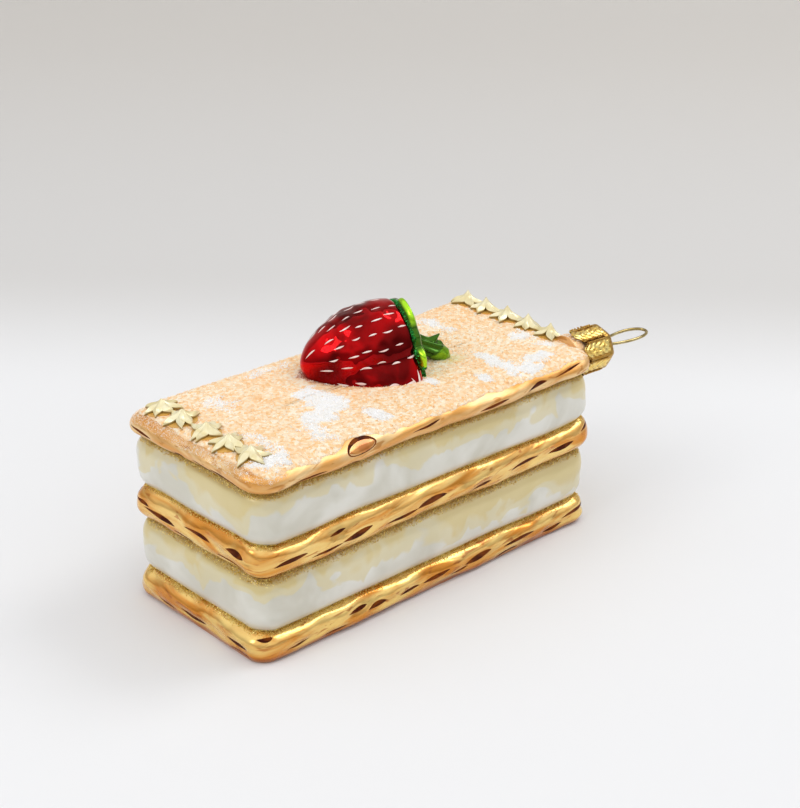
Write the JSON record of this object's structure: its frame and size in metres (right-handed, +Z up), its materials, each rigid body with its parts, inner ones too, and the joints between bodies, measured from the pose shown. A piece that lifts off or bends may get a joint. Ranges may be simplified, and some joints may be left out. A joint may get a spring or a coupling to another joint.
{
  "type": "mille feuille slice glass ornament",
  "caption": "Blown-glass hanging ornament in the form of a layered cream pastry slice with a strawberry on top, a gold crown cap and a wire loop.",
  "frame": {"origin": "centre of the flat underside of the bottom pastry layer", "axes": "+X along the slice towards the cap and the wire loop, +Z up"},
  "size_m": [0.1355, 0.0506, 0.0647],
  "materials": {
    "painted_glass": "silvered inside, pearl and gold lacquer outside, with glitter",
    "gold_cap": "embossed, bright",
    "brass_wire": "polished"
  },
  "bodies": {
    "root": {"glass_body": "painted_glass", "cap": "gold_cap", "hanger": "brass_wire"}
  },
  "joints": []
}
